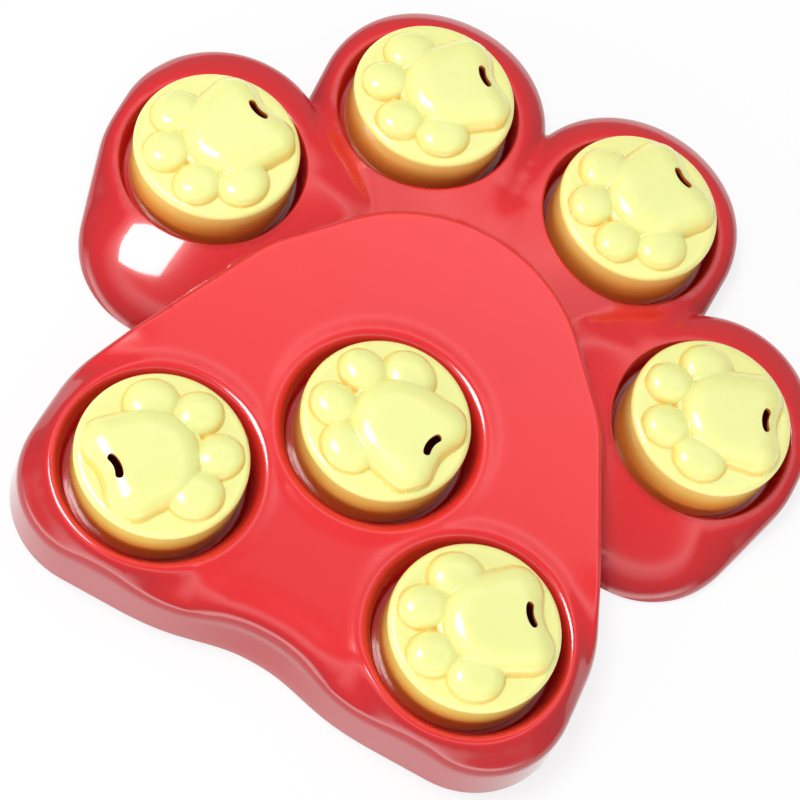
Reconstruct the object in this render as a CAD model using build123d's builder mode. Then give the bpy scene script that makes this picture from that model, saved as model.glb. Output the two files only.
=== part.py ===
"""Paw-shaped puzzle feeder for a dog.

A ribbed, thin-walled shell has a raised pad and four toes. Seven treat wells hang in it as
cups, six of them on rubber feet, and each is closed by a loose lift-off cap with an embossed
paw. The shell and its cups are moulded in one, and are kept here as a skin and seven cups.

Frame: millimetres, +Z up, the toes point to +Y. The origin lies on the floor under the
middle of the shell's outline. Places in the lists below are measured from the axis of the
pad's centre well, and MIDDLE takes them into the frame.
"""
import os
from math import acos, atan2, cos, degrees, hypot, radians, sin

from build123d import *

# --- Caps -----------------------------------------------------------------------------
CAP_DIAMETER = 56.0
CAP_HEIGHT = 19.8  # rim of the skirt to the flat of the top
CAP_SKIRT = 1.8
CAP_ROOF = 2.2  # also the thickness of the embossed paw, which is hollow beneath
CAP_DRAFT = 0.4  # the skirt's inside is this much narrower under the roof
CAP_EDGE = 2.0
CAP_INNER_EDGE = 1.5

# Embossed paw, with the heel towards +X of the cap
PRINT_ROOT = 1.0  # depth of the print's pieces inside the roof
PRINT_PAD = (6.6, 6.4)  # height above the top and rounding
PRINT_FRONT = (5.2, 0.0, 17.1)  # x, y, radius of the big pad's round front
PRINT_LOBE = (15.2, 9.4, 9.4)  # x, y, radius of a heel lobe, mirrored
PRINT_DENT = (22.4, 10.3)  # x of the dent between the heel lobes, and its radius
PRINT_DENT_BLEND = 8.6
PRINT_TOE = (4.7, 4.4)  # height above the top and rounding
PRINT_TOES = ((-17.0, 7.35, 7.8, 7.8), (-3.6, 17.3, 10.1, 8.0))  # x, y, half sizes, mirrored
SLOT_LENGTH = 8.9
SLOT_WIDTH = 2.3
SLOT_BEND = 7.6  # radius of the crescent's middle line
SLOT_DISTANCE = 16.4  # from the cap's axis

# --- Wells ----------------------------------------------------------------------------
WELL_DEPTH = 10.2
WELL_WALL = 2.0
WELL_CORNER = 1.2
FLOOR_CLEARANCE = 1.4  # between cap and well, round the floor
RIM_CLEARANCE = 3.2  # between cap and well, round the rim
PAD_RIM_ROUNDING = 2.6
TOE_RIM_ROUNDING = 1.0
RIM_BREAK = 15.0  # degrees by which the rim's rounding stays short of the deck's level

# --- Shell ----------------------------------------------------------------------------
SHELL_WALL = 2.4
PAD_DECK = 25.2  # height above the floor
TOE_DECK = 16.3  # height above the floor, on the axis of a toe's well
TOE_TILT = 3.0  # degrees by which the toe decks fall away outwards
SHELL_LIFT = 1.0  # gap between the shell's lower edge and the floor
DRAFT = 3.0  # degrees
PAD_EDGE = 5.5  # rounding of the pad's free edge
STEP_EDGE = 2.0  # rounding of the pad's edge above the toes
TOE_EDGE = 6.0

# Lobes at the shell's lower edge: x, y, and how much wider than a well's rim their radius is.
# The outline is a belt round them, so they run clockwise. The lists give the right-hand side,
# and the left-hand side mirrors it.
PAD_APEX = (0.0, 27.0, 26.8)
PAD_SHOULDER = (22.0, 15.0, 17.8)
PAD_FLANK = ((54.5, -41.0, 11.4), (66.0, -56.5, 0.6), (46.0, -45.0, 12.1))
SHOULDER_SPREAD = 12.0  # the free edge's rounding runs out this far beyond the shoulders
SHOULDER_COURSE = (0.6, 0.8)  # direction in which the right-hand shoulder runs out
HEEL_DENT = (8.0, 60.0)  # depth of the dent in the front wall, and its radius
HEEL_BLEND = 48.0
INNER_HEAD = (38.0, 123.0, 9.5)
INNER_TOE = (INNER_HEAD, (40.0, 88.0, 5.8), (26.0, 86.0, 3.8))
OUTER_TOE = ((96.0, 70.0, 4.0), (92.0, 62.0, 8.0), (86.0, 35.5, 5.8), (62.0, 52.0, 2.8))
WEB_RADIUS = 6.5  # hollow web between the two inner toes
WEB_DROP = 4.0  # from the toe deck to the top of the web

# Wells: name, x, y, direction of the cap's heel in degrees from +X
PAD_WELLS = (
    ("pad_centre", 0.0, 0.0, -10.2),
    ("pad_left", -55.85, -48.1, 233.0),
    ("pad_right", 55.85, -48.1, 36.9),
)
TOE_WELLS = (
    ("toe_outer_left", -93.2, 62.7, 68.3),
    ("toe_inner_left", -39.5, 120.4, 45.1),
    ("toe_inner_right", 39.5, 120.4, 60.7),
    ("toe_outer_right", 93.2, 62.7, 19.5),
)

# --- Ribs and feet --------------------------------------------------------------------
RIB_THICKNESS = 1.8
RIB_LIFT = 5.0  # lower edge of the ribs above the floor
FOOT_DIAMETER = 18.0
FOOT_HEIGHT = 3.0
FOOT_EDGE = 0.8
FOOT_CLEARANCE = 0.1
GROOVE_RADII = (6.0, 3.0)  # outer first
GROOVE = 0.8  # width and depth of the grip rings in a foot's sole
BOSS_WALL = 2.5
BOSS_LIFT = 1.4  # lower end of the foot's boss above the floor
BOSS_LEDGE = 1.5  # width of the ledge on which a foot bears, inside its collar

# --- Derived --------------------------------------------------------------------------
CAP_RADIUS = CAP_DIAMETER / 2
RIM_RADIUS = CAP_RADIUS + RIM_CLEARANCE
BACK = INNER_HEAD[1] + INNER_HEAD[2] + RIM_RADIUS
FRONT = min(y - wider for x, y, wider in PAD_FLANK) - RIM_RADIUS
MIDDLE = (BACK + FRONT) / 2


def mirrored(lobes):
    """The lobes on the other side of the YZ plane, still clockwise."""
    return [(-x, y, wider) for x, y, wider in reversed(lobes)]


def in_frame(lobes):
    """The lobes' circles, moved from the centre well's axis to the frame's origin."""
    return [(x, y - MIDDLE, RIM_RADIUS + wider) for x, y, wider in lobes]


def belt_face(circles, inset):
    """Sketch of the face inside a belt round the clockwise circles, moved in by the inset.

    A straight run leaves one circle where its outward normal makes the angle
    course + acos(difference of radii / distance), and meets the next at the same angle.
    """
    lobes = [(x, y, r - inset) for x, y, r in circles]
    runs = []
    for (x0, y0, r0), (x1, y1, r1) in zip(lobes, lobes[1:] + lobes[:1]):
        course = atan2(y1 - y0, x1 - x0)
        runs.append(course + acos((r0 - r1) / hypot(x1 - x0, y1 - y0)))
    with BuildSketch() as belt:
        with BuildLine():
            for i, (x0, y0, r0) in enumerate(lobes):
                x1, y1, r1 = lobes[(i + 1) % len(lobes)]
                sweep = degrees(runs[i - 1] - runs[i]) % 360
                CenterArc((x0, y0), r0, degrees(runs[i]), sweep)
                side = (cos(runs[i]), sin(runs[i]))
                start = (x0 + r0 * side[0], y0 + r0 * side[1])
                Line(start, (x1 + r1 * side[0], y1 + r1 * side[1]))
        make_face()
    return belt.sketch


def round_deck(block, inset, edge):
    """Round the edges of a block's deck. Inside the wall, a small rounding ends up sharp."""
    if edge > inset:
        fillet(block.faces().sort_by(Axis.Z)[-1].edges(), edge - inset)


def pad_block(inset, spread, edge):
    """The pad's body. The inset moves its walls in and its deck down."""
    x, y, wider = PAD_APEX
    apex = (x, y + spread, wider + spread)
    x, y, wider = PAD_SHOULDER
    course_x, course_y = SHOULDER_COURSE
    shoulder = (x + course_x * spread, y + course_y * spread, wider + spread)
    right = [shoulder] + list(PAD_FLANK)
    dent_depth, dent_radius = HEEL_DENT
    dent = dent_radius + inset
    dent_y = FRONT + dent_depth - dent_radius - MIDDLE
    with BuildPart() as block:
        with BuildSketch(Plane.XY.offset(SHELL_LIFT)) as outline:
            add(belt_face(in_frame([apex] + right + mirrored(right)), inset))
            with Locations((0, dent_y)):
                Circle(dent, mode=Mode.SUBTRACT)
            corners = outline.vertices().filter_by(
                lambda v: abs(hypot(v.X, v.Y - dent_y) - dent) < 0.01
            )
            fillet(corners, HEEL_BLEND - inset)
        extrude(amount=PAD_DECK - inset - SHELL_LIFT, taper=DRAFT)
        round_deck(block, inset, edge)
    return block.part


def toe_plane(x, y, height):
    """Plane across a toe well's axis, leaning outwards, at a height above the floor."""
    lean = sin(radians(TOE_TILT)) / hypot(x, y)
    normal = (lean * x, lean * y, cos(radians(TOE_TILT)))
    return Plane(origin=(x, y - MIDDLE, height), x_dir=(normal[2], 0, -normal[0]), z_dir=normal)


def toe_block(circles, well, inset, edge):
    """One toe's body, cut off by its leaning deck."""
    name, x, y, heading = well
    with BuildPart() as block:
        with BuildSketch(Plane.XY.offset(SHELL_LIFT)):
            add(belt_face(in_frame(circles), inset))
        extrude(amount=PAD_DECK - SHELL_LIFT, taper=DRAFT)
        split(bisect_by=toe_plane(x, y, TOE_DECK - inset), keep=Keep.BOTTOM)
        round_deck(block, inset, edge)
    return block.part


def web_block(inset):
    """The hollowed web that joins the two inner toes, tangent to both."""
    x, y, r = in_frame([INNER_HEAD])[0]
    hollow_y = y + ((r + WEB_RADIUS) ** 2 - x**2) ** 0.5
    with BuildPart() as block:
        with BuildSketch(Plane.XY.offset(SHELL_LIFT)):
            with BuildLine():
                Polyline((-x, y), (x, y), (0, hollow_y), close=True)
            make_face()
            with Locations((0, hollow_y)):
                Circle(WEB_RADIUS + inset, mode=Mode.SUBTRACT)
        extrude(amount=TOE_DECK - WEB_DROP - inset - SHELL_LIFT, taper=DRAFT)
    return block.part


def shell_solid(inset):
    """Pad, toes and web as one solid, moved in by the inset on every side."""
    toes = [mirrored(OUTER_TOE), mirrored(INNER_TOE), list(INNER_TOE), list(OUTER_TOE)]
    with BuildPart() as solid:
        add(pad_block(inset, 0.0, STEP_EDGE))
        add(pad_block(inset, SHOULDER_SPREAD, PAD_EDGE), mode=Mode.INTERSECT)
        for circles, well in zip(toes, TOE_WELLS):
            add(toe_block(circles, well, inset, TOE_EDGE))
        add(web_block(inset))
    return solid.part


def well_wall(growth, rim_rounding):
    """Profile points below the rim: along a well's floor and up its leaning wall."""
    bottom = -WELL_DEPTH - growth
    floor = CAP_RADIUS + FLOOR_CLEARANCE + growth
    return [(0, bottom), (floor, bottom), (RIM_RADIUS + growth, -rim_rounding)]


def round_corner(vessel, radius):
    """Round the corner between a vessel's wall and its bottom."""
    fillet(vessel.faces().sort_by(Axis.Z)[0].edges(), radius)


def well_space(rim_rounding):
    """A well's space below a deck at Z = 0, and the air above it.

    The rim's rounding stops RIM_BREAK short of the level and runs out through the deck.
    """
    wall = well_wall(0.0, rim_rounding)
    mouth = RIM_RADIUS + rim_rounding
    step = rim_rounding * (1 - cos(radians(RIM_BREAK)))
    with BuildPart() as space:
        with BuildSketch(Plane.XZ):
            with BuildLine():
                Polyline(wall)
                arc = CenterArc((mouth, -rim_rounding), rim_rounding, 180, RIM_BREAK - 90)
                Polyline(arc @ 1, (mouth, step), (mouth, CAP_HEIGHT), (0, CAP_HEIGHT), wall[0])
            make_face()
        revolve(axis=Axis.Z)
        round_corner(space, WELL_CORNER)
    return space.part


def cup_body(rim_rounding):
    """The solid round a well's space, up to a deck at Z = 0."""
    with BuildPart() as body:
        with BuildSketch(Plane.XZ):
            with BuildLine():
                wall = well_wall(WELL_WALL, rim_rounding)
                Polyline(wall + [(wall[-1][0], 0), (0, 0)], close=True)
            make_face()
        revolve(axis=Axis.Z)
        round_corner(body, WELL_CORNER + WELL_WALL)
    return body.part


def well_planes():
    """Name, plane on the deck, direction of the cap's heel and rim rounding of each well."""
    planes = []
    for name, x, y, heading in PAD_WELLS:
        planes.append((name, Plane((x, y - MIDDLE, PAD_DECK)), heading, PAD_RIM_ROUNDING))
    for name, x, y, heading in TOE_WELLS:
        planes.append((name, toe_plane(x, y, TOE_DECK), heading, TOE_RIM_ROUNDING))
    return planes


WELLS = well_planes()
FOOT_PLACES = {name: (x, y - MIDDLE) for name, x, y, heading in PAD_WELLS[1:] + TOE_WELLS}
os.makedirs("parts", exist_ok=True)

# --- Shell ----------------------------------------------------------------------------
core = shell_solid(SHELL_WALL)

with BuildPart() as ribs:
    with BuildSketch(Plane.XY.offset(RIB_LIFT)):
        for name, x, y, heading in PAD_WELLS[1:] + TOE_WELLS:
            with Locations((x / 2, y / 2 - MIDDLE)):
                Rectangle(hypot(x, y), RIB_THICKNESS, rotation=degrees(atan2(y, x)))
        with Locations([(x, y - MIDDLE) for name, x, y, heading in PAD_WELLS + TOE_WELLS]):
            Circle(RIM_RADIUS, mode=Mode.SUBTRACT)
    extrude(amount=PAD_DECK)
    for name, plane, heading, rounding in WELLS:
        with Locations(plane.location):
            add(cup_body(rounding), mode=Mode.SUBTRACT)

with BuildPart() as hollow:
    add(core)
    add(ribs.part, mode=Mode.SUBTRACT)

with BuildPart() as base_shell:
    add(shell_solid(0.0))
    add(hollow.part, mode=Mode.SUBTRACT)
    for name, plane, heading, rounding in WELLS:
        with Locations(plane.location):
            add(well_space(rounding), mode=Mode.SUBTRACT)
base_shell.part.label = "base_shell"
export_step(base_shell.part, "parts/base_shell.step")

# --- Well cups ------------------------------------------------------------------------
for name, plane, heading, rounding in WELLS:
    with BuildPart() as well_cup:
        if name in FOOT_PLACES:
            with BuildSketch(Plane.XY.offset(BOSS_LIFT)):
                with Locations(FOOT_PLACES[name]):
                    Circle(FOOT_DIAMETER / 2 + BOSS_WALL)
                    Circle(FOOT_DIAMETER / 2 - BOSS_LEDGE, mode=Mode.SUBTRACT)
            extrude(amount=PAD_DECK)
        with Locations(plane.location):
            add(cup_body(rounding))
        add(core, mode=Mode.INTERSECT)
        with Locations(plane.location):
            add(well_space(rounding), mode=Mode.SUBTRACT)
        if name in FOOT_PLACES:
            with BuildSketch():
                with Locations(FOOT_PLACES[name]):
                    Circle(FOOT_DIAMETER / 2 + FOOT_CLEARANCE)
            extrude(amount=FOOT_HEIGHT, mode=Mode.SUBTRACT)
    well_cup.part.label = f"well_cup_{name}"
    export_step(well_cup.part, f"parts/well_cup_{name}.step")

# --- Cap ------------------------------------------------------------------------------
def print_piece(outline, inset, height, edge):
    """One swelling of the embossed paw, moved in by the inset on every side."""
    with BuildPart() as piece:
        with BuildSketch(Plane.XY.offset(CAP_HEIGHT - PRINT_ROOT - inset)):
            add(outline)
        extrude(amount=PRINT_ROOT + height)
        fillet(piece.faces().sort_by(Axis.Z)[-1].edges(), edge - inset)
    return piece.part


def paw_print(inset):
    """The embossed paw: a big pad with a dented heel, and four toes round its front."""
    x, y, r = PRINT_LOBE
    dent_x, dent_radius = PRINT_DENT
    dent_x = dent_x + dent_radius
    with BuildSketch() as pad:
        add(belt_face([PRINT_FRONT, (x, y, r), (x, -y, r)], inset))
        with Locations((dent_x, 0)):
            Circle(dent_radius + inset, mode=Mode.SUBTRACT)
        dent_corners = pad.vertices().filter_by(
            lambda v: abs(hypot(v.X - dent_x, v.Y) - dent_radius - inset) < 0.01
        )
        fillet(dent_corners, PRINT_DENT_BLEND - inset)
    with BuildPart() as paw:
        add(print_piece(pad.sketch, inset, *PRINT_PAD))
        for x, y, half_length, half_width in PRINT_TOES:
            for side in (1, -1):
                with BuildSketch() as toe:
                    with Locations((x, side * y)):
                        Ellipse(half_length - inset, half_width - inset)
                add(print_piece(toe.sketch, inset, *PRINT_TOE))
    return paw.part


with BuildPart() as cap:
    with BuildSketch(Plane.XZ):
        inside = CAP_RADIUS - CAP_SKIRT
        ceiling = CAP_HEIGHT - CAP_ROOF
        with BuildLine():
            Polyline(
                (0, CAP_HEIGHT),
                (CAP_RADIUS, CAP_HEIGHT),
                (CAP_RADIUS, 0),
                (inside, 0),
                (inside - CAP_DRAFT, ceiling),
                (0, ceiling),
                close=True,
            )
        make_face()
    revolve(axis=Axis.Z)
    rings = cap.edges().filter_by(GeomType.CIRCLE)
    fillet(rings.group_by(Axis.Z)[-1], CAP_EDGE)
    fillet(rings.group_by(Axis.Z)[-2], CAP_INNER_EDGE)
    add(paw_print(0.0))
    add(paw_print(CAP_ROOF), mode=Mode.SUBTRACT)
    with BuildSketch(Plane.XY.offset(ceiling)):
        half_turn = degrees((SLOT_LENGTH - SLOT_WIDTH) / 2 / SLOT_BEND)
        bend = CenterArc((SLOT_DISTANCE + SLOT_BEND, 0), SLOT_BEND, 180 - half_turn, 2 * half_turn)
        SlotArc(bend, SLOT_WIDTH)
    extrude(amount=CAP_HEIGHT, mode=Mode.SUBTRACT)

for name, plane, heading, rounding in WELLS:
    seat = plane.location * Location((0, 0, -WELL_DEPTH), (0, 0, heading))
    with BuildPart() as seated_cap:
        with Locations(seat):
            add(cap.part)
    seated_cap.part.label = f"cap_{name}"
    export_step(seated_cap.part, f"parts/cap_{name}.step")

# --- Feet -----------------------------------------------------------------------------
with BuildPart() as foot:
    with BuildSketch():
        Circle(FOOT_DIAMETER / 2)
    extrude(amount=FOOT_HEIGHT)
    fillet(foot.edges().sort_by(Axis.Z)[0], FOOT_EDGE)
    with BuildSketch():
        for radius in GROOVE_RADII:
            Circle(radius + GROOVE / 2)
            Circle(radius - GROOVE / 2, mode=Mode.SUBTRACT)
    extrude(amount=GROOVE, mode=Mode.SUBTRACT)

for name, place in FOOT_PLACES.items():
    with BuildPart() as seated_foot:
        with Locations(place):
            add(foot.part)
    seated_foot.part.label = f"foot_{name}"
    export_step(seated_foot.part, f"parts/foot_{name}.step")
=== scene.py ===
"""Paw-shaped puzzle feeder: a glossy red shell, seven lift-off caps and rubber feet.

Shapes are worked out in millimetres, in the model's frame, and written out in metres.
Places in the lists are measured from the axis of the pad's centre well.
"""
import math

import bmesh
import bpy
import numpy as np
from mathutils import Matrix, Vector
from mathutils.geometry import delaunay_2d_cdt


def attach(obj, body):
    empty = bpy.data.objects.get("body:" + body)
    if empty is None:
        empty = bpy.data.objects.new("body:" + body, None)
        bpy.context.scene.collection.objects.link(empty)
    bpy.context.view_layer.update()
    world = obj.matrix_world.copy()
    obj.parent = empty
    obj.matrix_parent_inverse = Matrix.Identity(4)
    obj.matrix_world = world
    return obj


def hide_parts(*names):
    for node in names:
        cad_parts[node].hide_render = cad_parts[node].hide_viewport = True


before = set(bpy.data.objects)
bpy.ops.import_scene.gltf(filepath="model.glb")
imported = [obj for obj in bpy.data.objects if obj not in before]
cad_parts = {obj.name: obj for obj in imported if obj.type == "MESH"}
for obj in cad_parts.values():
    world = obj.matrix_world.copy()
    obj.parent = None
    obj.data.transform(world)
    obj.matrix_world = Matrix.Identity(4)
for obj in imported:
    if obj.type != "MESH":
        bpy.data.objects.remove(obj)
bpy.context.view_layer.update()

MIDDLE = 37.7
MM = 0.001

# --- Camera -----------------------------------------------------------------------------
camera_data = bpy.data.cameras.new("camera")
camera_data.lens = 134.558
camera_data.sensor_width = 36.0
camera_data.clip_end = 20.0
camera = bpy.data.objects.new("camera", camera_data)
bpy.context.scene.collection.objects.link(camera)
camera.matrix_world = Matrix((
    (0.8762146921510582, -0.4817644784634756, 0.012280087517672622, 0.0125076),
    (0.43692895995683445, 0.7834028155760959, -0.4420103081360031, -0.4534505),
    (0.20332461043775604, 0.3926614519382579, 0.8969259093994743, 0.8947650),
    (0.0, 0.0, 0.0, 1.0),
))
bpy.context.scene.camera = camera

# --- Sizes ------------------------------------------------------------------------------
PAD_DECK = 25.2
TOE_DECK = 16.3
TOE_TILT = math.radians(3.0)
SHELL_LIFT = 1.0
SHELL_WALL = 2.4
DRAFT = math.tan(math.radians(3.0))
STEP_EDGE = 1.7  # rounding of the pad's upper edge
TOE_EDGE = 0.8
STEP_HOLLOW = 2.4  # width of the hollow where the pad stands on the toes
HUB = (0.0, 30.0 - MIDDLE)  # every outline is seen whole from here
PAD_HUB = 10.0  # y from which the pad's outline is seen whole
ROW_STEP = 0.866  # distance of the rows of evenly strewn points, in spacings

PAD_BELT = (
    (0.0, 27.0, 58.0), (22.0, 15.0, 49.0), (54.5, -41.0, 42.6), (66.0, -56.5, 31.8),
    (46.0, -45.0, 43.3), (-46.0, -45.0, 43.3), (-66.0, -56.5, 31.8), (-54.5, -41.0, 42.6),
    (-22.0, 15.0, 49.0),
)
PAD_CORE = ((0.0, -20.0, 56.0), (28.0, -36.0, 46.0), (-28.0, -36.0, 46.0))
INNER_TOE = ((38.0, 123.0, 40.66), (40.0, 88.0, 37.0), (26.0, 86.0, 35.0))
OUTER_TOE = ((94.6, 72.6, 36.6), (92.0, 62.0, 39.2), (86.0, 35.5, 37.0), (62.0, 52.0, 34.0))
PAD_WELLS = {"pad_centre": (0.0, 0.0, -10.2), "pad_left": (-55.85, -48.1, 233.0),
             "pad_right": (55.85, -48.1, 36.9)}
TOE_WELLS = {"toe_outer_left": (-93.2, 62.7, 68.3), "toe_inner_left": (-39.5, 120.4, 45.1),
             "toe_inner_right": (39.5, 120.4, 60.7), "toe_outer_right": (93.2, 62.7, 19.5)}
WELL_DEPTH = 10.2
WELL_FLOOR = 30.2
WELL_RIM = 31.2
WELL_WALL = 2.0
WELL_CORNER = 1.2
# Run of a deck's fall, slopes by a well and away from it, rises by a well and at full run.
PAD_FALL = (15.0, 0.75, 0.0, 8.0, 9.0)
TOE_FALL = (14.0, 0.35, 0.0, 6.6, 5.5)
PAD_LIP = (4.6, 0.5)  # radius of the rounding from a well's wall to its lip, and the lip's rise
TOE_LIP = (1.0, 0.0)
# Outward direction of a toe's tail, where it and its sideways part start, and its bend.
TOE_TAIL = (0.72, -0.69, -1.5, 12.0, 0.0038)
TAIL_BENT = 36.0  # run over which a tail bends, before it goes on straight
SIDE_SAG = 1.5  # share of the sideways part, on the outer toes alone
HEEL = (-88.4, 6.6, 24.0, 2.3)  # y of the front wall, and its dent's depth, width and power
FOOT_RADIUS = 9.1
FOOT_SEAT = 3.0
COLLAR = (11.5, 7.5, 1.4)  # outer radius, radius of the ledge's edge, height above the floor
RIB = (1.8, 5.0)  # thickness and height above the floor

CAP_RADIUS = 28.0
CAP_HEIGHT = 19.8
CAP_SKIRT = 1.8
CAP_EDGE = 2.0
CAP_ROOF = 1.5
PRINT_PAD = (5.9, 11.0)  # height and width of the swelling's shoulder
PRINT_FRONT = (5.2, 0.0, 17.6)
PRINT_LOBE = (14.9, 9.5, 9.2)
PRINT_DENT = (32.7, 10.3, 1.5)  # x, radius, and how much steeper the swelling is there
PRINT_BED = (18.6, 6.0, 2.1)  # radius, end and height of the bed in which the toes meet
PRINT_TOE = (4.0, 8.0)
PRINT_TOES = ((-15.6, 7.75, 9.0, 8.05), (-3.5, 16.6, 9.75, 8.7))
SLOT = (16.4, 7.6, 4.45, 1.3)  # place, bend, half length, half width


# --- Meshes -----------------------------------------------------------------------------
def smoothstep(low, high, value):
    """0 below low, 1 above high, and an S-shaped ramp between."""
    t = np.clip((value - low) / (high - low), 0.0, 1.0)
    return t * t * (3.0 - 2.0 * t)


class Patchwork:
    """Collects patches of vertices and faces, and welds them where they meet."""

    def __init__(self):
        self.points = []
        self.faces = []
        self.depths = []
        self.count = 0

    def add(self, points, faces, depth=0.0):
        """Adds points (n, 3) and their faces as index rows, with their level of painted shade."""
        self.points.append(np.asarray(points, float))
        self.depths.append(np.broadcast_to(np.asarray(depth, float), len(points)))
        self.faces.append(np.asarray(faces, int) + self.count)
        self.count += len(points)

    def grid(self, surface, wrap=True, depth=0.0):
        """Adds a grid of points (rows, columns, 3) as quads, closed round each row."""
        rows, columns = surface.shape[:2]
        index = np.arange(rows * columns).reshape(rows, columns)
        right = np.roll(index, -1, axis=1) if wrap else index[:, 1:]
        left = index if wrap else index[:, :-1]
        quads = np.stack([left[:-1], right[:-1], right[1:], left[1:]], -1).reshape(-1, 4)
        depth = np.broadcast_to(np.asarray(depth, float), (columns, rows)).T.ravel()
        self.add(surface.reshape(-1, 3), quads, depth)

    def lid(self, ring, centre):
        """Closes a ring of points with a fan round one centre point."""
        n = len(ring)
        i = np.arange(n)
        self.add(np.vstack([ring, centre]), np.stack([i, (i + 1) % n, np.full(n, n)], -1))

    def piece(self, name, place=Matrix.Identity(4), sharp=40.0):
        """Makes the welded mesh object, in metres, with its place in its mesh."""
        points = np.vstack(self.points)
        keys = np.round(points / 2e-4).astype(np.int64)
        _, first, joined = np.unique(keys, axis=0, return_index=True, return_inverse=True)
        joined = joined.ravel()
        turn = np.array(place.to_3x3())
        points = points[first] @ turn.T + np.array(place.translation)
        loops, totals = [], []
        for faces in self.faces:
            faces = joined[faces]
            whole = np.all(faces != np.roll(faces, 1, axis=1), axis=1)
            faces = faces[whole]
            loops.append(faces.ravel())
            totals.append(np.full(len(faces), faces.shape[1]))
        loops = np.concatenate(loops)
        totals = np.concatenate(totals)
        starts = np.concatenate([[0], np.cumsum(totals)[:-1]])
        mesh = bpy.data.meshes.new(name)
        mesh.vertices.add(len(points))
        mesh.vertices.foreach_set("co", (points * MM).ravel())
        mesh.loops.add(len(loops))
        mesh.loops.foreach_set("vertex_index", loops)
        mesh.polygons.add(len(totals))
        mesh.polygons.foreach_set("loop_start", starts)
        mesh.update(calc_edges=True)
        # Each point's level of painted shade goes into the "depth" attribute, which the materials
        # read.
        depths = np.concatenate(self.depths)[first]
        mesh.attributes.new("depth", "FLOAT", "POINT").data.foreach_set("value", depths)
        mesh.validate()
        outward(mesh)
        mesh.polygons.foreach_set("use_smooth", np.ones(len(mesh.polygons), bool))
        mesh.set_sharp_from_angle(angle=math.radians(sharp))
        item = bpy.data.objects.new(name, mesh)
        bpy.context.scene.collection.objects.link(item)
        return item


def outward(mesh):
    """Turns every face of a closed mesh outwards."""
    shape = bmesh.new()
    shape.from_mesh(mesh)
    bmesh.ops.recalc_face_normals(shape, faces=shape.faces)
    shape.to_mesh(mesh)
    shape.free()


def triangulate(points, chains):
    """Triangles over plane points, keeping every chain (start, length, closed) as edges."""
    edges = []
    for start, length, closed in chains:
        i = np.arange(start, start + length - (0 if closed else 1))
        j = np.where(i + 1 < start + length, i + 1, start)
        edges.append(np.stack([i, j], -1))
    edges = np.vstack(edges).tolist()
    made, _, faces, origin, _, _ = delaunay_2d_cdt(points.tolist(), edges, [], 0, 1e-7)
    made = np.array([tuple(p) for p in made])
    faces = np.array([f for f in faces if len(f) == 3])
    return made, faces


# --- Shell ------------------------------------------------------------------------------
def belt_distance(x, y, circles, inset, closed=True):
    """Distance outside a belt round circles: the least of the distances to the belts round
    each two neighbours, where a point beside the straight run measures square to it."""
    far = np.full(np.shape(x), 1e9)
    pairs = list(zip(circles, circles[1:] + circles[:1] if closed else circles[1:]))
    for (x0, y0, r0), (x1, y1, r1) in pairs:
        r0, r1 = r0 - inset, r1 - inset
        span = math.hypot(x1 - x0, y1 - y0)
        ux, uy = (x1 - x0) / span, (y1 - y0) / span
        along = (x - x0) * ux + (y - y0) * uy
        beside = np.abs((y - y0) * ux - (x - x0) * uy)
        lean = (r0 - r1) / span
        rise = math.sqrt(1.0 - lean * lean)
        at = along * rise - beside * lean
        run = beside * rise + along * lean - r0
        start = np.hypot(beside, along) - r0
        end = np.hypot(beside, along - span) - r1
        far = np.minimum(far, np.where(at < 0, start, np.where(at > rise * span, end, run)))
    return far


def rounded(side, top, edge):
    """Inside of a wall and under a deck, joined by a rounding with the edge's radius."""
    u, v = side + edge, top + edge
    return np.minimum(np.maximum(u, v), 0) + np.hypot(np.maximum(u, 0), np.maximum(v, 0)) - edge


def melt(a, b, width):
    """The lesser of two distances, with a hollow of the given width where they are equal."""
    near = np.maximum(width - np.abs(a - b), 0.0) / width
    return np.minimum(a, b) - near * near * width / 4.0


def mirrored(circles):
    """The circles of the toe on the other side."""
    return tuple((-x, y, r) for x, y, r in circles[::-1])


TOES = (
    (mirrored(OUTER_TOE), TOE_WELLS["toe_outer_left"]),
    (mirrored(INNER_TOE), TOE_WELLS["toe_inner_left"]),
    (INNER_TOE, TOE_WELLS["toe_inner_right"]),
    (OUTER_TOE, TOE_WELLS["toe_outer_right"]),
)


def heel_wall(x, y, height):
    """Distance outside the dented heel: a bell-shaped dent in the straight front wall, whose
    top lies further in than its foot."""
    front, dent, width, power = HEEL
    depth = dent + 1.6 * np.clip((height - 3.0) / 12.0, 0.0, 1.0)
    bell = np.exp(-(np.abs(x) / width) ** power)
    slope = -depth * bell * power * np.abs(x) ** 1.3 / width ** power * np.sign(x)
    return (front + depth * bell - y) / np.hypot(1.0, slope)


def fall(depth, room, reach, rim_slope, tail_slope, rim_rise, tail_rise):
    """Drop of a deck inside its outline: a straight slope and a quarter of an ellipse added
    up, over a run from the outline to the lip of the well or as far as its reach."""
    run = np.clip(room - 3.0, 4.0, reach)
    rise = np.interp(run, (4.0, 9.0, reach), (0.55 * rim_rise, rim_rise, tail_rise))
    slope = rim_slope + (tail_slope - rim_slope) * smoothstep(10.0, 25.0, room)
    u = 1.0 - depth / run
    u = np.clip((u + np.sqrt(u * u + 0.012)) / 2.0, 0.0, 0.995)
    return slope * run * u + (rise - slope * run) * (1.0 - np.sqrt(1.0 - u * u))


def sag(run):
    """The square of a run from its start, and a straight line once it is bent."""
    bent = np.clip(run, 0.0, TAIL_BENT)
    return bent * (2.0 * np.maximum(run, 0.0) - bent)


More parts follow.
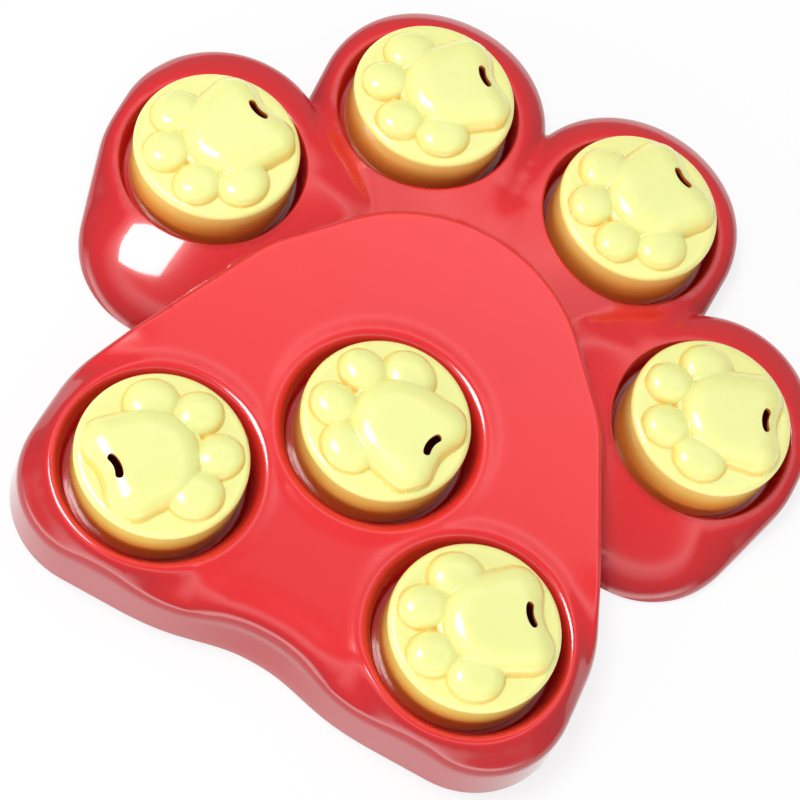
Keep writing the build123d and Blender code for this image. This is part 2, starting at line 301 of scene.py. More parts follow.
def lip(away, shape, inset):
    """Drop of a deck into a well: a quarter circle, whose top stands a little above the
    deck and falls back to it in a bell-shaped curve."""
    radius, raised = shape
    inner = max(radius - inset, 0.4)
    beyond = away - WELL_RIM - max(radius, inset + 0.4)
    u = np.clip(-beyond / inner, 0.0, 1.0)
    back = raised * (1.0 - np.exp(-(np.maximum(beyond, 0.0) / 2.6) ** 2))
    return inner * (1.0 - np.sqrt(1.0 - u * u)) + back - raised


def shell_field(x, y, z, inset=0.0):
    """Distance outside the shell's outer skin, or its inner one when moved in by the inset.

    Each block is a belt with leaning walls under a deck that falls away to its outline and
    into its wells. A toe's deck also sags along its tail, outwards and towards the heel. The
    toes melt into each other, and the pad stands on them.
    """
    y = y + MIDDLE
    lean = (z - SHELL_LIFT) * DRAFT
    pad = belt_distance(x, y, PAD_BELT, inset)
    for cx, cy, r in PAD_CORE:
        pad = np.minimum(pad, np.hypot(x - cx, y - cy) - (r - inset))
    pad = np.maximum(pad, heel_wall(x, y, z) + inset)
    away = np.min([np.hypot(x - wx, y - wy) for wx, wy, _ in PAD_WELLS.values()], axis=0)
    room = np.maximum(away - WELL_RIM, 0.0) - pad
    drop = smoothstep(-4.0, -42.0, y) * fall(-pad, room, *PAD_FALL)
    drop = drop + lip(away, PAD_LIP, inset)
    edge = np.maximum(STEP_EDGE - inset, 0.4)
    body = rounded(pad + lean, z - (PAD_DECK - inset) + drop, edge)
    toes, outline = None, None
    east, south, start, side_start, bend = TOE_TAIL
    reach = smoothstep(0.0, 46.0, pad + 6.0)
    for circles, (wx, wy, _) in TOES:
        far = math.hypot(wx, wy)
        out = (x * wx + y * wy) / far - far
        side = belt_distance(x, y, circles, inset)
        away = np.hypot(x - wx, y - wy)
        room = np.maximum(away - WELL_RIM, 0.0) - side
        along = (x - wx) * east * np.sign(wx) + (y - wy) * south - start
        across = (x - wx) * south * np.sign(wx) - (y - wy) * east - side_start
        side_sag = SIDE_SAG if circles in (OUTER_TOE, mirrored(OUTER_TOE)) else 0.0
        tail = bend * (sag(along) + side_sag * sag(across))
        drop = fall(-side, room, *TOE_FALL) + tail + lip(away, TOE_LIP, inset)
        top = z - (TOE_DECK - inset) + out * math.tan(TOE_TILT) + drop
        block = rounded(side + lean, top, TOE_EDGE)
        if toes is None:
            toes, outline = block, side
            continue
        outline = np.minimum(outline, side)
        toes = melt(toes, block, 2.0 + 9.0 * reach * smoothstep(-1.0, -14.0, outline))
    return melt(body, toes, STEP_HOLLOW)


def solve(field, low, high, steps=24):
    """Where a rising function crosses zero between two bounds, by halving."""
    low, high = np.array(low, float), np.array(high, float)
    for _ in range(steps):
        middle = (low + high) / 2.0
        outside = field(middle) > 0
        high = np.where(outside, middle, high)
        low = np.where(outside, low, middle)
    return (low + high) / 2.0


def shell_height(x, y, inset=0.0):
    """Height of the skin over a place in plan."""
    return solve(lambda z: shell_field(x, y, z, inset), np.zeros_like(x), np.full_like(x, 30.0))


def shell_reach(turn, z, inset=0.0, depth=0.0, low=40.0):
    """Distance from the hub to the skin in each direction, or to a given depth inside it."""
    cos, sin = np.cos(turn), np.sin(turn)
    return solve(
        lambda r: shell_field(HUB[0] + r * cos, HUB[1] + r * sin, z, inset) + depth,
        np.broadcast_to(low, turn.shape), np.full_like(turn, 170.0),
    )


def polar(turn, reach, z):
    """Points round the hub."""
    return np.stack([HUB[0] + reach * np.cos(turn), HUB[1] + reach * np.sin(turn),
                     np.broadcast_to(z, reach.shape)], -1)


def even_turns(count):
    """Directions from the hub that divide the shell's foot evenly."""
    turn = np.linspace(0, 2 * math.pi, 4001)
    foot = polar(turn, shell_reach(turn, np.full_like(turn, SHELL_LIFT)), 0.0)
    run = np.concatenate([[0], np.cumsum(np.linalg.norm(np.diff(foot, axis=0), axis=1))])
    return np.interp(np.linspace(0, run[-1], count, endpoint=False), run, turn)


def well_frame(name):
    """Place of a well's axis on the deck, the matrix of its leaning plane, the heading of
    its cap and the shape of its lip."""
    if name in PAD_WELLS:
        x, y, heading = PAD_WELLS[name]
        return np.array([x, y - MIDDLE, PAD_DECK]), np.eye(3), heading, PAD_LIP
    x, y, heading = TOE_WELLS[name]
    lean = math.sin(TOE_TILT) / math.hypot(x, y)
    up = np.array([lean * x, lean * y, math.cos(TOE_TILT)])
    right = np.array([up[2], 0.0, -up[0]])
    right /= np.linalg.norm(right)
    turn = np.stack([right, np.cross(up, right), up], -1)
    return np.array([x, y - MIDDLE, TOE_DECK]), turn, heading, TOE_LIP


WELL_NAMES = list(PAD_WELLS) + list(TOE_WELLS)


def well_rings(name, growth, columns, inset):
    """A well as rings about its axis: floor, rounded corner and leaning wall, then rings on
    the skin from the lip's foot to its top.

    Grown by its wall it is the outside of the cup below.
    """
    place, turn, _, (radius, _) = well_frame(name)
    floor, rim = WELL_FLOOR + growth, WELL_RIM + growth
    bottom = -WELL_DEPTH - growth
    corner = WELL_CORNER + growth
    lean = math.atan2(rim - floor, WELL_DEPTH + growth - radius)
    arc = np.linspace(-math.pi / 2, -lean, 7)
    base = floor + corner * math.tan(lean / 2.0)
    profile = [(r, bottom) for r in np.linspace(0.12, 0.9, 5) * (base - corner)]
    profile += list(zip(base - corner + corner * np.cos(arc),
                        bottom + corner + corner * np.sin(arc)))
    bend = np.linspace(0.16, math.pi / 2 + 0.12, 12)
    width = max(radius - growth, 0.4)
    reach = rim + width * (1.0 - np.cos(bend))
    profile += [(r, 0.0) for r in reach]
    profile = np.array(profile)
    around = np.linspace(0, 2 * math.pi, columns, endpoint=False)
    local = np.stack([profile[:, :1] * np.cos(around), profile[:, :1] * np.sin(around),
                      np.repeat(profile[:, 1:], columns, 1)], -1)
    rings = local @ turn.T + place
    skin = rings[-len(bend):]
    skin[..., 2] = shell_height(skin[..., 0], skin[..., 1], inset)
    low, high = rings[-len(bend) - 1], skin[0]
    wall = np.stack([low + t * (high - low) for t in np.linspace(0.2, 0.8, 4)])
    rings = np.concatenate([rings[:-len(bend)], wall, skin])
    return rings, place - turn[:, 2] * (WELL_DEPTH + growth)


def shrunk(points):
    """Plane points drawn in a little, the more the further out, so no run of them is straight."""
    return points * (1.0 - 1e-6 * (points ** 2).sum(axis=-1, keepdims=True))


def within(points, ring, centre):
    """Which plane points lie inside a ring that is seen whole from its centre."""
    turn = np.arctan2(*(ring - centre).T[::-1])
    order = np.argsort(turn)
    ring, turn = ring[order], turn[order]
    after = np.searchsorted(turn, np.arctan2(*(points - centre).T[::-1])) % len(ring)
    start, end = ring[after - 1], ring[after]
    run, gone = end - start, points - start
    return run[:, 0] * gone[:, 1] - run[:, 1] * gone[:, 0] > 0


def deck_patch(work, rim_rings, boundary, turn, inset, spacing):
    """The deck between the outer ring and the wells' rims: evenly strewn points, with rows
    along the outer edge, the wells and the step, all lifted on to the skin."""
    rows, chains, start = [], [], 0

    def row(points, closed=True, chained=True):
        nonlocal start
        rows.append(points[:, :2])
        if chained:
            chains.append((start, len(points), closed))
        start += len(points)

    row(boundary)
    for ring in rim_rings:
        row(ring)
    fixed = start
    foot = np.full_like(turn, SHELL_LIFT)
    for depth in (3.5, 4.6, 6.0):
        row(polar(turn, shell_reach(turn, foot, inset, depth), 0.0), chained=False)
    for step in (0.45, 0.7, 0.85, 1.0, 1.12, 1.22, 1.36, 1.56, 1.82, 2.15, 2.6, 3.2, 4.0):
        around = np.linspace(0.0, 2 * math.pi, 460, endpoint=False)
        cos, sin = np.cos(around), np.sin(around)
        reach = solve(lambda r: belt_distance(r * cos, PAD_HUB + r * sin, PAD_BELT, inset) + step,
                      np.full_like(around, 30.0), np.full_like(around, 140.0))
        line = np.stack([reach * cos, PAD_HUB + reach * sin - MIDDLE], -1)
        inside = shell_field(line[:, 0], line[:, 1], np.full(len(line), SHELL_LIFT), inset) < -3.0
        inside &= line[:, 1] > -70.0
        edges = np.flatnonzero(np.diff(np.concatenate([[False], inside, [False]]).astype(int)))
        pieces = list(zip(edges[::2], edges[1::2]))
        if inside[0] and inside[-1] and len(pieces) > 1:
            head, tail = pieces[0], pieces[-1]
            pieces = pieces[1:-1]
            row(np.vstack([line[tail[0]:tail[1]], line[head[0]:head[1]]]), closed=False)
        for a, b in pieces:
            row(line[a:b], closed=False)
    nx, ny = int(270 / spacing), int(260 / (spacing * ROW_STEP))
    gx, gy = np.meshgrid(np.arange(nx), np.arange(ny))
    x = (gx + 0.5 * (gy % 2)) * spacing - 135.0
    y = gy * spacing * ROW_STEP - 130.0
    x, y = x.ravel(), y.ravel()
    keep = shell_field(x, y, np.full(x.shape, SHELL_LIFT), inset) < -6.0 - spacing * 0.6
    step = belt_distance(x, y + MIDDLE, PAD_BELT, inset)
    keep &= (step > -0.45 + spacing * 0.5) | (step < -4.0 - spacing * 0.5)
    for ring in rim_rings:
        middle = ring[:, :2].mean(axis=0)
        radius = np.hypot(*(ring[:, :2] - middle).T).max()
        keep &= np.hypot(x - middle[0], y - middle[1]) > radius + 0.4 * spacing
    row(np.stack([x[keep], y[keep]], -1), chained=False)
    made, faces = triangulate(shrunk(np.vstack(rows)), chains)
    centre = made[faces].mean(axis=1)
    inside = within(centre, shrunk(boundary[:, :2]), np.array(HUB))
    for ring in rim_rings:
        ring = shrunk(ring[:, :2])
        inside &= ~within(centre, ring, ring.mean(axis=0))
    drawn = made
    for _ in range(8):
        made = made + drawn - shrunk(made)
    faces = faces[inside]
    height = shell_height(made[:, 0], made[:, 1], inset)
    surface = np.column_stack([made, height])
    known = np.vstack([boundary] + list(rim_rings))
    surface[:fixed] = known
    work.add(surface, faces)


def lathe(profile, columns):
    """Rings about the Z axis from a profile of radius and height."""
    around = np.linspace(0, 2 * math.pi, columns, endpoint=False)
    profile = np.array(profile)
    return np.stack([profile[:, :1] * np.cos(around), profile[:, :1] * np.sin(around),
                     np.repeat(profile[:, 1:], columns, 1)], -1)


def underside(work):
    """Collars round the feet under six wells, and ribs from the centre well to each of them.

    A collar is a tube with a ledge inside; a rib is a plate whose top follows the deck.
    """
    thickness, lift = RIB
    outer, ledge, low = COLLAR
    for name in WELL_NAMES[1:]:
        place, turn, _, _ = well_frame(name)
        top = place[2] - WELL_DEPTH * turn[2, 2] - 0.5 * WELL_WALL
        profile = [(outer, top), (outer, low), (FOOT_RADIUS, low), (FOOT_RADIUS, FOOT_SEAT),
                   (ledge, FOOT_SEAT), (ledge, top), (outer, top)]
        work.grid(lathe(profile, 96) + np.array([place[0], place[1], 0.0]))
        middle = np.array([0.0, -MIDDLE])
        run = place[:2] - middle
        length = np.hypot(*run)
        run /= length
        t = np.linspace(WELL_RIM + 1.0, length - WELL_RIM - 1.0, 48)
        line = middle + t[:, None] * run
        side = 0.5 * thickness * np.array([-run[1], run[0]])
        height = shell_height(line[:, 0], line[:, 1], 0.5 * SHELL_WALL)
        corners = [np.column_stack([line + s * side, z])
                   for s, z in ((1, height), (1, np.full_like(t, lift)),
                                (-1, np.full_like(t, lift)), (-1, height))]
        plate = np.stack(corners, axis=1)
        work.grid(plate)
        for end in (plate[0], plate[-1]):
            work.lid(end, end.mean(axis=0))


def shade_shell(mesh):
    """Writes painted shade into the shell's colour: darker where it is steep, low or near the
    heel, and the same all over inside a well."""
    normals = np.empty(3 * len(mesh.vertices))
    mesh.vertices.foreach_get("normal", normals)
    places = np.empty(3 * len(mesh.vertices))
    mesh.vertices.foreach_get("co", places)
    places = places.reshape(-1, 3) / MM
    # Painted shade: the steeper a face, the darker its red; low toe decks and the heel end darker
    # too.
    painted_shade = np.clip((1.0 - normals[2::3]) / 0.4, 0.0, 1.0)
    painted_shade = painted_shade + 0.3 * smoothstep(20.0, 16.0, places[:, 2])
    painted_shade = np.minimum(painted_shade + 0.24 * smoothstep(-30.0, -95.0, places[:, 1]), 1.0)
    # Painted shade in the wells: below the lip, wall and floor all get the same dark level.
    for name in WELL_NAMES:
        axis, turn, _, (radius, _) = well_frame(name)
        local = (places - axis) @ turn
        sunk = smoothstep(-0.3 * radius, -1.5 - radius, local[:, 2])
        inside = np.hypot(local[:, 0], local[:, 1]) < WELL_RIM + 1.5
        painted_shade = np.where(inside, painted_shade + sunk * (0.7 - painted_shade), painted_shade)
    mesh.attributes["depth"].data.foreach_set("value", painted_shade)


def build_shell():
    """The shell: outer skin and inner skin, each of walls, deck and wells, joined at the foot."""
    work = Patchwork()
    turn = even_turns(760)
    feet = []
    for inset, growth, columns, spacing in ((0.0, 0.0, 150, 1.7), (SHELL_WALL, WELL_WALL, 72, 3.4)):
        margin = 1.2 if inset else 2.6
        edge = shell_reach(turn, np.full_like(turn, SHELL_LIFT), inset, margin)
        boundary = polar(turn, edge, 0.0)
        boundary[:, 2] = shell_height(boundary[:, 0], boundary[:, 1], inset)
        levels = np.sin(np.linspace(0, math.pi / 2, 15)) ** 0.9
        rows = []
        for share in levels[:-1]:
            z = SHELL_LIFT + share * (boundary[:, 2] - SHELL_LIFT)
            rows.append(polar(turn, shell_reach(turn, z, inset, 0.0, edge - 1.0), z))
        rows.append(boundary)
        feet.append(rows[0])
        work.grid(np.stack(rows))
        rims = []
        for name in WELL_NAMES:
            rings, bottom = well_rings(name, growth, columns, inset)
            work.grid(rings)
            work.lid(rings[0], bottom)
            rims.append(rings[-1])
        deck_patch(work, rims, boundary, turn, inset, spacing)
    work.grid(np.stack(feet))
    underside(work)
    made = work.piece("red_shell")
    shade_shell(made.data)
    return made


shell = build_shell()
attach(shell, "shell")
moulded = [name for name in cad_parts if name.startswith(("base_shell", "well_cup"))]
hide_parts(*moulded)


# --- Caps -------------------------------------------------------------------------------
def swelling(depth, height, width, steep=0.9, flat=1.0):
    """Height of a swelling at a depth inside its outline: the upper part of a quarter of an
    ellipse, which starts less steeply the smaller its share is, and flatter on top the higher
    its power."""
    t = (1.0 - np.clip(depth / width, 0.0, 1.0)) ** flat
    foot = math.sqrt(1.0 - steep * steep)
    return height * (np.sqrt(1.0 - (steep * t) ** 2) - foot) / (1.0 - foot)


def oval_depth(x, y, half_x, half_y):
    """Depth inside an ellipse, near enough: its stretched radius against the slope of that."""
    stretched = np.hypot(x / half_x, y / half_y)
    slope = np.hypot(x / half_x ** 2, y / half_y ** 2) / np.maximum(stretched, 1e-6)
    return (1.0 - stretched) / np.maximum(slope, 1e-6)


def print_depths(x, y, inset=0.0):
    """Depth inside the embossed pad, inside each of the four toes, and inside their bed."""
    cx, cy, r = PRINT_FRONT
    lx, ly, lobe = PRINT_LOBE
    pad = -belt_distance(x, y, (PRINT_FRONT, PRINT_LOBE, (lx, -ly, lobe)), inset)
    pad = np.maximum(pad, r - inset - np.hypot(x - cx, y - cy))
    dent_x, dent_radius, steeper = PRINT_DENT
    dent = (np.hypot(x - dent_x, y) - dent_radius - inset) * steeper
    near = np.maximum(3.0 - np.abs(pad - dent), 0.0) / 3.0
    pad = np.minimum(pad, dent) - near * near * 0.75
    toes = []
    for tx, ty, half_x, half_y in PRINT_TOES:
        for side in (1, -1):
            toes.append(oval_depth(x - tx, y - side * ty, half_x - inset, half_y - inset))
    radius, end, _ = PRINT_BED
    bed = np.minimum(radius - inset - np.hypot(x - cx, y - cy), end - inset - x)
    return pad, toes, bed


def cap_top(x, y, inset=0.0):
    """Height of the cap's top: swellings that meet in creases, standing on the flat."""
    pad, toes, bed = print_depths(x, y, inset)
    top = swelling(pad, PRINT_PAD[0], PRINT_PAD[1] - inset, 0.97, 1.3)
    for toe in toes:
        top = -melt(-top, -swelling(toe, PRINT_TOE[0], PRINT_TOE[1] - inset, 0.97, 1.35), 0.3)
    top = np.maximum(top, swelling(bed, PRINT_BED[2], 1.2))
    return CAP_HEIGHT - inset + np.maximum(top - 0.08 * (top < 0.2), 0.0)


def cap_painted_shade(x, y):
    """Painted shade on the cap's top: darker orange on the steep sides of its swellings."""
    east = cap_top(x + 0.12, y) - cap_top(x - 0.12, y)
    north = cap_top(x, y + 0.12) - cap_top(x, y - 0.12)
    return 0.95 * smoothstep(0.45, 1.8, np.hypot(east, north) / 0.24)


def slot_outline(count, growth=0.0):
    """A crescent: its middle line bends round a point heelwards, and it narrows at the tips."""
    place, bend, half, width = SLOT
    t = np.linspace(-1, 1, count)
    angle = t * half / bend
    thick = (width + growth) * np.maximum(1.0 - t ** 8, 0.0) ** 0.5
    outer, inner = (
        np.stack([place + bend - r * np.cos(angle), r * np.sin(angle)], -1)
        for r in (bend + thick, bend - thick))
    return np.vstack([outer, inner[-2:0:-1]])


def cap_plate(work, ring, slot, inset, spacing):
    """The cap's roof seen from above or below, as a strewn disc with the slot cut out."""
    rows, chains, start = [], [], 0
    for line in (ring[:, :2], slot):
        chains.append((start, len(line), True))
        rows.append(line)
        start += len(line)
    fixed = start
    depths = (0.0, 0.12, 0.35) if inset == 0 else (0.0, 0.3)
    shapes = [(PRINT_FRONT[:2], 0, 240)] + [
        ((cx, side * cy), 1 + 2 * i + (side < 0), 130)
        for i, (cx, cy, _, _) in enumerate(PRINT_TOES) for side in (1, -1)]
    radius = np.hypot(*ring[0, :2])
    for (cx, cy), index, count in shapes:
        around = np.linspace(0, 2 * math.pi, count, endpoint=False)
        cos, sin = np.cos(around), np.sin(around)
        for depth in depths:
            def beyond(r):
                pad, toes, _ = print_depths(cx + r * cos, cy + r * sin, inset)
                return depth - ([pad] + toes)[index]
            reach = solve(beyond, np.zeros(count), np.full(count, 30.0))
            line = np.stack([cx + reach * cos, cy + reach * sin], -1)
            pad, toes, _ = print_depths(line[:, 0], line[:, 1], inset)
            others = np.max([d for i, d in enumerate([pad] + toes) if i != index], axis=0)
            line = line[(others < 0.3) & (np.hypot(*line.T) < radius - 0.15)]
            rows.append(line)
            start += len(line)
    size = int(30 / spacing)
    gx, gy = np.meshgrid(np.arange(-size, size + 1), np.arange(-size, size + 1))
    x = ((gx + 0.5 * (gy % 2)) * spacing).ravel()
    y = (gy * spacing * ROW_STEP).ravel() * 1.1
    keep = np.hypot(x, y) < radius - spacing * 0.5
    pad, toes, _ = print_depths(x, y, inset)
    for depth in [pad] + toes:
        keep &= (depth < -0.1) | (depth > 0.45)
    away = np.min(np.hypot(x[:, None] - slot[None, :, 0], y[:, None] - slot[None, :, 1]), axis=1)
    keep &= away > spacing * 0.45
    rows.append(np.stack([x[keep], y[keep]], -1))
    made, faces = triangulate(np.vstack(rows), chains)
    centre = made[faces].mean(axis=1)
    faces = faces[~within(centre, slot, np.array([SLOT[0], 0.0]))]
    surface = np.column_stack([made, cap_top(made[:, 0], made[:, 1], inset)])
    surface[:len(ring)] = ring
    # Painted shade: the roof's underside gets the red-orange of the shaded inside; the top, darker
    # orange on its steep slopes.
    depth = 2.0 if inset else cap_painted_shade(surface[:, 0], surface[:, 1])
    work.add(surface, faces, depth)
    return surface[len(ring):fixed]


def build_cap():
    """One cap: outer skirt and rounded edge, inner skirt, both faces of the roof, the slot."""
    work = Patchwork()
    bend = np.linspace(0, math.pi / 2, 9)
    outside = [(CAP_RADIUS - 0.25, 0.0), (CAP_RADIUS, 0.25)]
    outside += [(CAP_RADIUS, z) for z in np.linspace(3.0, CAP_HEIGHT - CAP_EDGE - 0.01, 6)]
    outside += list(zip(CAP_RADIUS - CAP_EDGE + CAP_EDGE * np.cos(bend),
                        CAP_HEIGHT - CAP_EDGE + CAP_EDGE * np.sin(bend)))
    outer = lathe(outside, 220)
    inner_radius = CAP_RADIUS - CAP_SKIRT
    ceiling = CAP_HEIGHT - CAP_ROOF
    top = inner_radius - 0.4
    inside = [(inner_radius + 0.25, 0.0), (inner_radius, 0.25), (top + 0.02, ceiling - 1.5)]
    inside += list(zip(top - 1.5 + 1.5 * np.cos(bend), ceiling - 1.5 + 1.5 * np.sin(bend)))
    inner = lathe(inside, 220)
    height = outer[:, 0, 2]
    # Painted shade and painted red reflection: the rounded edge and the skirt turn orange, most
    # deeply low down, inside the well.
    painted_shade = 0.75 * smoothstep(CAP_HEIGHT - 0.2, CAP_HEIGHT - 2.6, height)
    work.grid(outer, depth=painted_shade + 0.95 * smoothstep(CAP_HEIGHT - 2.0, 7.0, height))
    # Painted shade: the inner skirt, the lower rim and the slot's throat get the red-orange of the
    # shaded inside.
    work.grid(inner, depth=2.0)
    work.grid(np.stack([outer[0], inner[0]]), depth=2.0)
    upper = cap_plate(work, outer[-1], slot_outline(33), 0.0, 0.5)
    lower = cap_plate(work, inner[-1], slot_outline(33), CAP_ROOF, 1.2)
    throat = np.stack([upper + t * (lower - upper) for t in (0.0, 0.2, 0.6, 1.0)])
    work.grid(throat, depth=np.array([0.6, 1.7, 1.8, 2.0]))
    return work


cap_work = build_cap()
caps = []
for name in WELL_NAMES:
    place, turn, heading, _ = well_frame(name)
    seat = place - turn[:, 2] * WELL_DEPTH
    spin = Matrix.Rotation(math.radians(heading), 3, "Z")
    matrix = (Matrix(turn.tolist()) @ spin).to_4x4()
    matrix.translation = seat
    cap = cap_work.piece("yellow_cap_" + name, matrix)
    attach(cap, "cap_" + name)
    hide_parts("cap_" + name)
    caps.append(cap)


# --- Materials --------------------------------------------------------------------------
class Value:
    """A socket whose arithmetic adds Math nodes to the material."""

    def __init__(self, tree, socket):
        self.tree, self.socket = tree, socket

    def _math(self, operation, *values):
        inputs = dict(enumerate(values))
        return self.tree.node("ShaderNodeMath", {"operation": operation}, inputs)

    def __add__(self, other):
        return self._math("ADD", self, other)

    __radd__ = __add__

    def __mul__(self, other):
        return self._math("MULTIPLY", self, other)

    __rmul__ = __mul__

    def __sub__(self, other):
        return self._math("SUBTRACT", self, other)

    def __rsub__(self, other):
        return self._math("SUBTRACT", other, self)


class Finish:
    """A material under construction, with one method that adds any node."""

    def __init__(self, name, owner=None):
        self.material = owner or bpy.data.materials.new(name)
        self.material.use_nodes = True
        self.tree = self.material.node_tree
        self.shader = self.tree.nodes.get("Principled BSDF") or self.tree.nodes["Background"]

    def node(self, kind, settings=(), inputs=(), output=0):
        """Adds a node, sets its settings, then its inputs, and gives one output back."""
        made = self.tree.nodes.new(kind)
        for key, value in dict(settings).items():
            if key == "stops":
                ramp = made.color_ramp
                while len(ramp.elements) < len(value):
                    ramp.elements.new(0.5)
                for element, (position, color) in zip(ramp.elements, value):
                    element.position = position
                    element.color = color
            else:
                setattr(made, key, value)
        for key, value in dict(inputs).items():
            self.feed(made.inputs[key], value)
        return Value(self, made.outputs[output])

    def feed(self, socket, value):
        """Links a value to a socket, or sets a number or colour on it."""
        if isinstance(value, Value):
            self.tree.links.new(value.socket, socket)
        else:
            socket.default_value = value

    def set(self, **sockets):
        """Feeds the shader's own sockets; underscores stand for spaces."""
        for key, value in sockets.items():
            self.feed(self.shader.inputs[key.replace("_", " ")], value)

    def place(self):
        """Where a point is on its object."""
        return self.node("ShaderNodeTexCoord", output="Object")

    def ramp(self, value, *stops):
        """Straight lines through levels (place, level) between 0 and 1."""
        stops = [(place, (level, level, level, 1.0)) for place, level in stops]
        return self.node("ShaderNodeValToRGB", {"stops": stops}, {0: value})

    def noise(self, where, scale, detail=2.0, roughness=0.5):
        """Clouds from 0 to 1, finer with the scale."""
        return self.node("ShaderNodeTexNoise", {}, {"Vector": where, "Scale": scale,
                                                     "Detail": detail, "Roughness": roughness})

    def bump(self, height, strength, distance):
        """A normal that follows a height."""
        return self.node("ShaderNodeBump", {}, {"Height": height, "Strength": strength,
                                                "Distance": distance})

    def mix(self, factor, one, other):
        """A colour between two, by a factor that is held between 0 and 1."""
        made = self.node("ShaderNodeMix", {"data_type": "RGBA"}, {0: factor}, output=2)
        self.feed(made.socket.node.inputs[6], one)
        self.feed(made.socket.node.inputs[7], other)
        return made


def red_gloss():
    """Moulded red plastic: a deep gloss, hardly wavy, with faint handling haze. Its red is
    darkened by painted shade.
    """
    finish = Finish("gloss_red_plastic")
    where = finish.place()
    tone = finish.noise(where, 14.0, 3.0)
    haze = finish.noise(where, 60.0, 5.0, 0.6)
    depth = finish.node("ShaderNodeAttribute", {"attribute_name": "depth"}, output=2)
    deck = finish.mix(tone, (0.86, 0.016, 0.021, 1.0), (0.92, 0.021, 0.027, 1.0))
    finish.set(
        # Painted shade: the red darkens towards (0.42, 0.008, 0.012) as the shade level rises, and
        # towards a near-black red past 1, where the coat also thins.
        Base_Color=finish.mix(depth - 1.0, finish.mix(depth, deck, (0.42, 0.008, 0.012, 1.0)),
                              (0.20, 0.002, 0.004, 1.0)),
        Roughness=0.12 + 0.10 * haze,
        IOR=1.5,
        Coat_Weight=finish.ramp(depth * 0.5, (0.5, 1.0), (1.0, 0.2)),
        Coat_Roughness=0.04,
        Normal=finish.bump(finish.noise(where, 45.0, 2.0), 0.04, 0.001),
    )
    return finish.material


def yellow_satin():
    """Pale yellow plastic: smooth, a little softer in its shine than the shell. Painted shade
    and painted red reflection turn it orange on slopes and skirts and red-orange inside.
    """
    finish = Finish("smooth_yellow_plastic")
    where = finish.place()
    tone = finish.noise(where, 30.0, 3.0)
    haze = finish.noise(where, 120.0, 4.0)
    depth = finish.node("ShaderNodeAttribute", {"attribute_name": "depth"}, output=2)
    face = finish.mix(tone, (0.99, 0.95, 0.33, 1.0), (1.0, 0.97, 0.36, 1.0))
    # Painted shade and painted red reflection: orange (1.0, 0.66, 0.15) on the skirt, the rounded
    # edge and the print's steep sides.
    side = finish.mix(depth, face, (1.0, 0.66, 0.15, 1.0))
    finish.set(
        # Painted shade and painted red reflection: red-orange inside the cap and down the slot,
        # where the level passes 1.
        Base_Color=finish.mix(depth - 1.0, side, (0.95, 0.20, 0.02, 1.0)),
        Roughness=0.20 + 0.08 * haze,
        IOR=1.5,
        Coat_Weight=0.7,
        Coat_Roughness=0.10,
        Subsurface_Weight=0.4,
        Subsurface_Radius=(1.0, 0.6, 0.2),
        Subsurface_Scale=0.005,
        Normal=finish.bump(finish.noise(where, 160.0, 2.0), 0.03, 0.0006),
    )
    return finish.material


def foot_rubber():
    """Soft dark rubber with a fine matt grain."""
    finish = Finish("dark_rubber")
    where = finish.place()
    grain = finish.noise(where, 900.0, 3.0)
    finish.set(
        Base_Color=finish.mix(finish.noise(where, 80.0),
                              (0.030, 0.030, 0.032, 1.0), (0.05, 0.05, 0.052, 1.0)),
        Roughness=0.75 + 0.12 * grain,
        Normal=finish.bump(grain, 0.25, 0.0003),
    )
    return finish.material


def dress(item, material):
    """Gives an object one material."""
    item.data.materials.clear()
    item.data.materials.append(material)


dress(shell, red_gloss())
yellow = yellow_satin()
for cap in caps:
    dress(cap, yellow)
rubber = foot_rubber()
for name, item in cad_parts.items():
    if name.startswith("foot_"):
        for slot in item.material_slots:
            slot.material = rubber


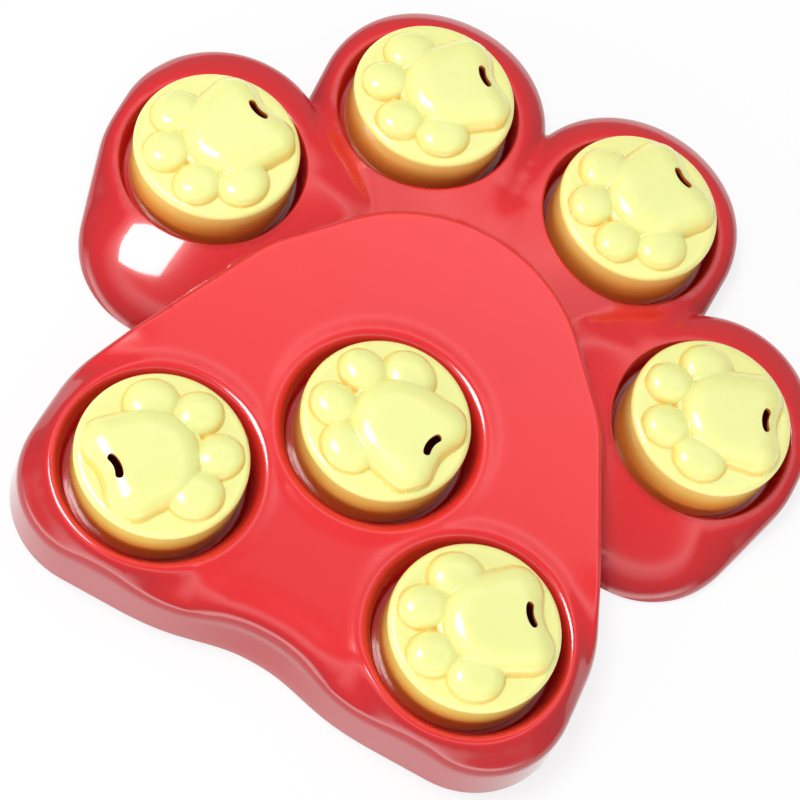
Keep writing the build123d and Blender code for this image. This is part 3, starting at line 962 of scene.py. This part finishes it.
# --- Stage ------------------------------------------------------------------------------
def paper(name):
    """White paper that the camera and reflections see nearly as plain white, under a shadow."""
    finish = Finish(name)
    finish.set(Base_Color=(0.93, 0.93, 0.935, 1.0), Roughness=0.9, IOR=1.05)
    seen = finish.node("ShaderNodeLightPath", output="Is Camera Ray")
    seen = seen + finish.node("ShaderNodeLightPath", output="Is Glossy Ray")
    glow = finish.node("ShaderNodeEmission", {}, {"Color": (1.0, 1.0, 1.0, 1.0), "Strength": 1.0})
    matt = Value(finish, finish.shader.outputs[0])
    blend = finish.node("ShaderNodeMixShader", {}, {0: seen * 0.8, 1: matt, 2: glow})
    finish.feed(finish.tree.nodes["Material Output"].inputs["Surface"], blend)
    return finish.material


floor_mesh = bpy.data.meshes.new("floor")
floor_mesh.from_pydata([(-4, -4, 0), (4, -4, 0), (4, 4, 0), (-4, 4, 0)], [], [(0, 1, 2, 3)])
floor = bpy.data.objects.new("floor", floor_mesh)
bpy.context.scene.collection.objects.link(floor)
floor_mesh.materials.append(paper("white_paper"))


def studio():
    """A dim room: a broad pale panel high up all round, a low pale wall in front, and a dim
    ceiling. The panel's levels are halved to fit its ramp."""
    world = bpy.data.worlds.new("studio")
    bpy.context.scene.world = world
    finish = Finish("studio", world)
    where = finish.node("ShaderNodeTexCoord", output="Generated")
    split = finish.node("ShaderNodeSeparateXYZ", {}, {0: where}).socket.node
    height = Value(finish, split.outputs["Z"])
    front = Value(finish, split.outputs["Y"])
    panel = finish.ramp(height, (0.0, 0.15), (0.70, 0.15), (0.81, 0.5), (0.86, 0.65), (0.90, 0.35),
                        (0.94, 0.17), (1.0, 0.15))
    low = finish.ramp(height, (0.0, 1.0), (0.25, 1.0), (0.42, 0.0))
    ahead = finish.ramp(0.0 - front, (0.1, 0.0), (0.6, 1.0))
    finish.set(Color=(1.0, 1.0, 1.0, 1.0), Strength=2.0 * panel + 2.6 * (low * ahead))


studio()


def soft_box(name, direction, distance, size, level):
    """A square lamp in a direction from the object, facing it, with the given radiance."""
    lamp = bpy.data.lights.new(name, "AREA")
    lamp.shape = "RECTANGLE"
    lamp.size, lamp.size_y = size
    lamp.energy = level * math.pi * size[0] * size[1]
    item = bpy.data.objects.new(name, lamp)
    bpy.context.scene.collection.objects.link(item)
    away = Vector(direction).normalized()
    item.location = away * distance
    item.rotation_euler = away.to_track_quat("Z", "Y").to_euler()


soft_box("key", (-0.36, -0.03, 0.93), 1.6, (0.54, 0.54), 14.7)
bpy.context.scene.view_settings.view_transform = "Standard"
